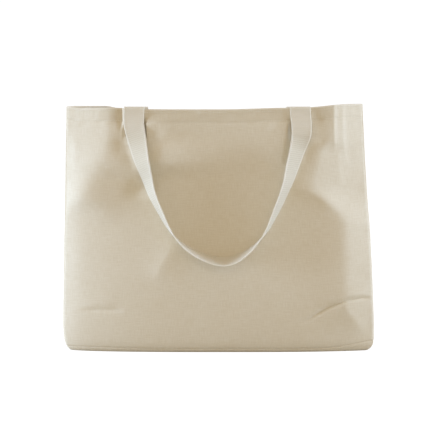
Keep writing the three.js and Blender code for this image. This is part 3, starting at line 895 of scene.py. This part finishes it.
def canvas_material():
    """Natural cotton duck: plain weave of slubby yarns."""
    m = Shader("natural_canvas")
    weft, warp = m.cloth_place()
    warp_pitch, weft_pitch = 0.82, 0.95  # mm from yarn to yarn
    wander = m.noise(m.point(weft * 0.05, warp * 0.05), 1.0) - 0.5
    a = (weft + wander * 1.1) * (math.pi / warp_pitch)
    b = (warp + wander * 1.3) * (math.pi / weft_pitch)
    upright, level = a.sin(), b.sin()
    turn = (a + math.pi / 2).sin() * (b + math.pi / 2).sin()
    over = upright.size() * (0.62 + 0.38 * turn)
    through = level.size() * (0.62 - 0.38 * turn)
    weave = over.over(through)
    upright_slub = m.noise(m.point(weft * 0.9, warp * 0.07), 1.0, 2.0)
    level_slub = m.noise(m.point(weft * 0.06, warp * 0.8, 7.0), 1.0, 2.0)
    slubs = upright_slub * 0.5 + level_slub * 0.5
    mottle = m.noise(m.here(), 11.0, 4.0, 0.6)
    fine = m.noise(m.point(weft * 0.45, warp * 0.45, 3.0), 1.0, 3.0, 0.65)
    wear_and_painted_shading = m.attribute("wear_and_painted_shading")
    deep, middle, pale = rgb(203, 189, 160), rgb(221, 210, 186), rgb(230, 221, 201)
    colour = m.blend(slubs.ramp(0.32, 0.68), middle, pale)
    colour = m.blend((1 - weave) * 0.1 + (0.5 - fine) * 0.3, colour, deep)
    colour = m.blend(mottle.ramp(0.38, 0.66) * 0.12, colour, rgb(214, 199, 170))
    colour = m.blend(wear_and_painted_shading * 0.35, colour, rgb(238, 232, 218))
    # painted shade: where the attribute is below 0, across the middle of the hem
    colour = m.blend((0 - wear_and_painted_shading) * 0.3, colour, deep)
    height = weave * 0.6 + slubs * 0.9 + fine * 0.35
    roughness = 0.86 + (slubs - 0.5) * 0.15
    return m.finish(colour, roughness, height, 0.00013, 0.22)


def webbing_material():
    """Cotton webbing: cross ribs over lengthwise cords, with firm selvedges."""
    m = Shader("cotton_webbing")
    across, along = m.cloth_place()
    cord_pitch, rib_pitch, beat_pitch = 1.55, 1.45, 3.2  # mm
    wander = m.noise(m.point(across * 0.08, along * 0.08), 1.0) - 0.5
    cord = (across * (math.pi / cord_pitch)).sin().size()
    rib = ((along + wander * 0.8 + across * 0.10) * (math.pi / rib_pitch)).sin()
    weave = rib.size() * 0.6 + cord * 0.4
    edge = m.attribute("wear_and_painted_shading")
    fuzz = m.noise(m.point(across * 0.6, along * 0.35, 5.0), 1.0, 3.0, 0.6)
    bands = m.noise(m.point(0.0, along * 0.22), 1.0, 2.0)
    colour = m.blend(weave * 0.75 + (fuzz - 0.5) * 0.6, rgb(208, 198, 174), rgb(239, 231, 212))
    colour = m.blend(bands.ramp(0.4, 0.7) * 0.15, colour, rgb(213, 201, 175))
    beats = ((along + wander * 2.0 + across * 0.1) * (math.pi / beat_pitch)).sin().size()
    colour = m.blend((1 - beats) * fuzz.ramp(0.3, 0.6) * (0.7 - edge * 0.6), colour, rgb(203, 190, 163))
    # paler along the selvedges from the mesh attribute, which near the rim and in the handle's curve is also
    # painted light lifting the shade
    colour = m.blend(edge * 0.5, colour, rgb(249, 243, 229))
    height = weave + fuzz * 0.4
    return m.finish(colour, 0.84 + (fuzz - 0.5) * 0.1, height, 0.0004, 0.1)


def thread_material():
    """Soft two-ply cotton thread."""
    m = Shader("cotton_thread")
    fuzz = m.noise(m.here(), 900.0, 2.0)
    colour = m.blend(fuzz, rgb(214, 203, 178), rgb(246, 240, 226))
    return m.finish(colour, 0.75 + (fuzz - 0.5) * 0.1, fuzz, 0.0001, 0.15)


def floor_material():
    """A pale floor that the lights wash out to white, and that gives the bag a softer light back."""
    m = Shader("pale_floor")
    grain = m.noise(m.here(), 3.0, 3.0)
    shade = m.blend(grain, rgb(214, 207, 194), rgb(220, 213, 200))
    matt = m.node("ShaderNodeBsdfDiffuse", None, {"Color": shade, "Roughness": 0.5})
    washed = m.node("ShaderNodeEmission", None, {"Strength": 1.1})
    seen = m.node("ShaderNodeLightPath").outputs["Is Camera Ray"]
    both = m.node("ShaderNodeMixShader", None, {0: seen, 1: matt.outputs[0], 2: washed.outputs[0]})
    m.node("ShaderNodeOutputMaterial", None, {"Surface": both.outputs[0]})
    return m.material


# ---------------------------------------------------------------- stitches
def stitch_tree():
    """Lays one thread stitch after another along a path, with its back towards the cloth."""
    tree = bpy.data.node_groups.new("thread_stitches", "GeometryNodeTree")
    tree.is_modifier = True
    kinds = [
        ("Path", "Geometry"), ("Pitch", "Float"), ("Start", "Vector"), ("Start Lift", "Vector"),
        ("End Lift", "Vector"), ("End", "Vector"), ("Thread Radius", "Float"), ("Thread", "Material"),
    ]  # fmt: skip
    for name, kind in kinds:
        tree.interface.new_socket(name=name, in_out="INPUT", socket_type="NodeSocket" + kind)
    tree.interface.new_socket(name="Stitches", in_out="OUTPUT", socket_type="NodeSocketGeometry")

    node = partial(add_node, tree)
    given = node("NodeGroupInput").outputs
    path = node("GeometryNodeMeshToCurve", None, {"Mesh": given["Path"]})
    values = {"Curve": path.outputs[0], "Length": given["Pitch"]}
    places = node("GeometryNodeCurveToPoints", {"mode": "LENGTH"}, values)
    facing = node("GeometryNodeInputNamedAttribute", {"data_type": "FLOAT_VECTOR"}, {"Name": "facing"})
    ahead = node("FunctionNodeAlignRotationToVector", {"axis": "X"}, {"Vector": places.outputs["Tangent"]})
    values = {"Rotation": ahead.outputs[0], "Vector": facing.outputs["Attribute"]}
    settled = node("FunctionNodeAlignRotationToVector", {"axis": "Z", "pivot_axis": "X"}, values)
    loop = node(
        "GeometryNodeCurvePrimitiveBezierSegment",
        None,
        {
            "Resolution": 6,
            "Start": given["Start"],
            "Start Handle": given["Start Lift"],
            "End Handle": given["End Lift"],
            "End": given["End"],
        },
    )
    ring = node("GeometryNodeCurvePrimitiveCircle", None, {"Resolution": 5, "Radius": given["Thread Radius"]})
    values = {"Curve": loop.outputs[0], "Profile Curve": ring.outputs[0], "Fill Caps": True}
    thread = node("GeometryNodeCurveToMesh", None, values)
    values = {"Points": places.outputs[0], "Instance": thread.outputs[0], "Rotation": settled.outputs[0]}
    copies = node("GeometryNodeInstanceOnPoints", None, values)
    real = node("GeometryNodeRealizeInstances", None, {"Geometry": copies.outputs[0]})
    values = {"Geometry": real.outputs[0], "Material": given["Thread"]}
    finished = node("GeometryNodeSetMaterial", None, values)
    out = node("NodeGroupOutput")
    tree.links.new(finished.outputs[0], out.inputs[0])
    return tree


def lay_stitches(name, rows, kind, tree, thread):
    """One mesh of all the stitches along some rows. A row is its points and which way each faces."""
    points, facing = (np.concatenate(values) for values in zip(*rows))
    edges, start = [], 0
    for row, _ in rows:
        edges += [(k, k + 1) for k in range(start, start + len(row) - 1)]
        start += len(row)
    mesh = bpy.data.meshes.new(name + "_path")
    mesh.from_pydata(points.tolist(), edges, [])
    attribute = mesh.attributes.new("facing", "FLOAT_VECTOR", "POINT")
    attribute.data.foreach_set("vector", facing.astype(np.float32).ravel())
    path = bpy.data.objects.new(name + "_path", mesh)
    bpy.context.scene.collection.objects.link(path)
    modifier = path.modifiers.new("stitches", "NODES")
    modifier.node_group = tree
    inputs = {item.name: item.identifier for item in tree.interface.items_tree if item.in_out == "INPUT"}
    for key, value in {**kind, "Thread": thread}.items():
        modifier[inputs[key]] = value
    graph = bpy.context.evaluated_depsgraph_get()
    made = bpy.data.meshes.new_from_object(path.evaluated_get(graph), depsgraph=graph)
    bpy.data.objects.remove(path)
    made.name = name
    made.shade_smooth()
    piece = bpy.data.objects.new(name, made)
    bpy.context.scene.collection.objects.link(piece)
    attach(piece, "bag")


# How each stitch lies: x along its row, z the way that the cloth faces there
LOCKSTITCH = {
    "Pitch": 3.3 * MM,
    "Start": (-1.35 * MM, 0, -0.25 * MM),
    "Start Lift": (-0.8 * MM, 0, 0.45 * MM),
    "End Lift": (0.8 * MM, 0, 0.45 * MM),
    "End": (1.35 * MM, 0, -0.25 * MM),
    "Thread Radius": 0.3 * MM,
}
OVERLOCK = {
    "Pitch": 2.3 * MM,
    "Start": (0.9 * MM, -5.2 * MM, 0.95 * MM),
    "Start Lift": (0, 2.4 * MM, 1.9 * MM),
    "End Lift": (0, 2.4 * MM, -1.9 * MM),
    "End": (-0.9 * MM, -5.2 * MM, -0.95 * MM),
    "Thread Radius": 0.26 * MM,
}


def hem_rows(face, rim, half_width):
    """The two rows of a wall's hem, on its outside and inside, from one seam to the other."""
    reach = 1 - 2 * MM / half_width
    s = np.linspace(-reach, reach, 160)
    rows = []
    for below, _, _, sunk in (ROW_EDGE, ROW_LOW):
        z = rim(s) - below
        normal = behind(face, s, z, -np.ones_like(s)) - face(s, z)
        rows.append((face(s, z) - normal * sunk, normal))
        rows.append((behind(face, s, z, np.full_like(s, HEM_THICKNESS - sunk)), -normal))
    return rows


BOX_HALF_WIDTH = 12.4 * MM
BOX_LOW, BOX_HIGH = HINGE.z - 35 * MM, HINGE.z - 4 * MM
BOX_INSIDE = HINGE.y + FOLD_RADIUS + 0.78 * MM  # where the thread lies on the sewn end
BOX_SUNK = 0.12 * MM  # how deep it lies in the cloth outside


def box_rows(side):
    """A box and a cross over each sewn end, inside and outside the hem, at the front or the back."""
    rows = []
    for middle in (-HALF_SPACING, HALF_SPACING):
        left, right = middle - BOX_HALF_WIDTH, middle + BOX_HALF_WIDTH
        a, b, c, d = (left, BOX_LOW), (right, BOX_LOW), (right, BOX_HIGH), (left, BOX_HIGH)
        for start, stop in ([a, b], [b, c], [c, d], [d, a], [a, c], [b, d]):
            x, z = np.linspace(start, stop, 24).T
            inside = np.stack([x, np.full_like(x, BOX_INSIDE), z], 1)
            share = (x - lean(z)) / seam_half_width(z)
            outside = wall_face(FRONT, share, z) + np.array([0, BOX_SUNK, 0])
            rows.append((turned(inside, side), np.tile([0.0, -side, 0.0], (len(x), 1))))
            rows.append((turned(outside, side), np.tile([0.0, side, 0.0], (len(x), 1))))
    return rows


# ---------------------------------------------------------------- making the bag
FACES = (("front", FRONT), ("back", BACK))
SIDES = (("left", LEFT), ("right", RIGHT))
CANVAS, WEBBING, THREAD = canvas_material(), webbing_material(), thread_material()
STITCHES = stitch_tree()


def dress(piece, material):
    """Gives a piece its material, and the slot that stands for it."""
    piece.data.materials.clear()
    piece.data.materials.append(material)
    return piece


# the walls and the base, each with its width and length as cut, in metres
PANEL_CUT, GUSSET_CUT, BASE_CUT = (0.508, 0.432), (0.112, 0.432), (0.508, 0.145)
STRETCHED, LAID = ("stretched", ["base_panel_cloth"]), ("laid", [])
cloths = [
    (panel(FRONT, "front_panel"), PANEL_CUT, STRETCHED),
    (panel(BACK, "back_panel"), PANEL_CUT, STRETCHED),
    (gusset(LEFT, "left_gusset"), GUSSET_CUT, STRETCHED),
    (gusset(RIGHT, "right_gusset"), GUSSET_CUT, STRETCHED),
    (base("base_panel"), BASE_CUT, LAID),
]
for cloth, cut, (held, rests_on) in cloths:
    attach(dress(cloth, CANVAS), "bag")

# the seam allowances, and the edges that the overlock thread binds
bound_rows = []


def sew(node, corners, inwards, seed):
    """Puts an allowance in its corner, and keeps its bound edge for the thread."""
    piece, edge, facing = allowance(node, corners, np.array(inwards), seed)
    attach(dress(piece, CANVAS), "bag")
    bound_rows.append((edge, facing))


for side_name, side in SIDES:
    for face_name, front in FACES:
        z = np.linspace(SIDE_SEAM_LOW, RIM - HEM_GRID, 90)
        corners = wall_face(front, np.full_like(z, -front * side), z)
        sew(f"{face_name}_{side_name}_seam", corners, (-side * 1.0, -front * 0.9, 0.0), 40 + side + front)
for face_name, front in FACES:
    s = np.linspace(-1, 1, 110) * PANEL_SEAM_SHARE
    corners = wall_face(front, s, panel_seam(front, s))
    sew(f"{face_name}_base_seam", corners, (0.0, -front * 1.0, 0.75), 50 + front)
for side_name, side in SIDES:
    s = np.linspace(-1, 1, 30) * GUSSET_SEAM_SHARE
    corners = gusset_face(side, s, gusset_seam(side, s))
    sew(f"{side_name}_base_seam", corners, (-side * 1.0, 0.0, 0.75), 55 + side)

# the handles
for face_name, front in FACES:
    body = f"{face_name}_handle"
    loop = webbing_piece(f"{body}_webbing", *(turned(part, front) for part in handle_frame(front)))
    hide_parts(f"{body}_loop")
    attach(dress(loop, WEBBING), body)
    for side_name, side in SIDES:
        run = (turned(part, front) for part in strap_end(-front * side))
        length = SEWN_LENGTH + math.pi * FOLD_RADIUS
        end = webbing_piece(f"{body}_{side_name}_end", *run, -length)
        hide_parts(f"{body}_{side_name}_fold", f"{body}_{side_name}_sewn_end")
        dress(end, WEBBING)
        start = turned(np.array([0, HINGE.y + FOLD_BLEND, HINGE.z]), front)
        stop = turned(np.array([0, HINGE.y - FOLD_BLEND, HINGE.z]), front)
        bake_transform(end)
    rests_on = [f"{face_name}_panel_cloth"]

# the thread
rows = []
for _, front in FACES:
    rows += hem_rows(partial(wall_face, front), partial(panel_rim, front), SEAM_HALF_WIDTH_RIM)
for _, side in SIDES:
    rows += hem_rows(partial(gusset_face, side), partial(gusset_rim, side), HALF_GAP_RIM)
lay_stitches("hem_stitches", rows, LOCKSTITCH, STITCHES, THREAD)
lay_stitches("handle_box_stitches", box_rows(FRONT) + box_rows(BACK), LOCKSTITCH, STITCHES, THREAD)
lay_stitches("overlock_stitches", bound_rows, OVERLOCK, STITCHES, THREAD)

# ---------------------------------------------------------------- studio
FLOOR_REACH = 3.2
floor_corners = FLOOR_REACH * np.array([(-1, -1, 0), (1, -1, 0), (1, 1, 0), (-1, 1, 0)])
floor = make_piece("floor", floor_corners, [(0, 1, 2, 3)])
floor.data.materials.append(floor_material())


def soft_light(name, place, width, height, power, colour):
    """A soft box that faces the middle of the bag. Its power is in watts."""
    lamp = bpy.data.lights.new(name, "AREA")
    lamp.shape = "RECTANGLE"
    lamp.size, lamp.size_y = width, height
    lamp.energy, lamp.color = power, colour
    holder = bpy.data.objects.new(name, lamp)
    holder.location = place
    holder.rotation_euler = (Vector((0, 0, 0.2)) - Vector(place)).to_track_quat("-Z", "Y").to_euler()
    bpy.context.scene.collection.objects.link(holder)


# cool daylight skims the front from both sides, and a weak warm lamp fills it
DAYLIGHT, LAMPLIGHT = (0.54, 0.71, 1.0), (1.0, 0.88, 0.70)
soft_light("left_window", (-2.5, -0.38, 0.45), 0.7, 1.2, 79, DAYLIGHT)
soft_light("right_window", (2.6, -0.30, 0.9), 0.7, 2.0, 70, DAYLIGHT)
soft_light("front_fill", (0.3, -3.4, 1.3), 1.6, 1.6, 7, LAMPLIGHT)


def studio_world():
    """White to the camera, and a warm glow on the bag."""
    world = bpy.data.worlds.new("studio")
    world.use_nodes = True
    world.node_tree.nodes.clear()
    node = partial(add_node, world.node_tree)
    seen = node("ShaderNodeBackground", None, {"Color": (1, 1, 1, 1), "Strength": 1.05})
    glow = node("ShaderNodeBackground", None, {"Color": (1.0, 0.865, 0.685, 1), "Strength": 0.585})
    camera_ray = node("ShaderNodeLightPath").outputs["Is Camera Ray"]
    either = node("ShaderNodeMixShader", None, {0: camera_ray, 1: glow.outputs[0], 2: seen.outputs[0]})
    node("ShaderNodeOutputWorld", None, {"Surface": either.outputs[0]})
    return world


bpy.context.scene.world = studio_world()
bpy.context.scene.view_settings.view_transform = "Standard"

# the camera stands level with the rim and looks a little down
VIEW_WIDTH = 0.6646  # how much of the front's own plane the camera takes in
DISTANCE = 2.1
CAMERA_X, FRONT_PLANE = -0.0035, -0.0775
CAMERA_HEIGHT, AIM_HEIGHT = 0.3850, 0.2180
SENSOR_WIDTH = 36  # mm
eye = Vector((CAMERA_X, FRONT_PLANE - DISTANCE, CAMERA_HEIGHT))
aim = Vector((CAMERA_X, FRONT_PLANE, AIM_HEIGHT))
lens = bpy.data.cameras.new("camera")
lens.lens = SENSOR_WIDTH * DISTANCE / VIEW_WIDTH
lens.clip_start, lens.clip_end = 0.01, 60
camera = bpy.data.objects.new("camera", lens)
camera.location = eye
camera.rotation_euler = (aim - eye).to_track_quat("-Z", "Y").to_euler()
bpy.context.scene.collection.objects.link(camera)
bpy.context.scene.camera = camera
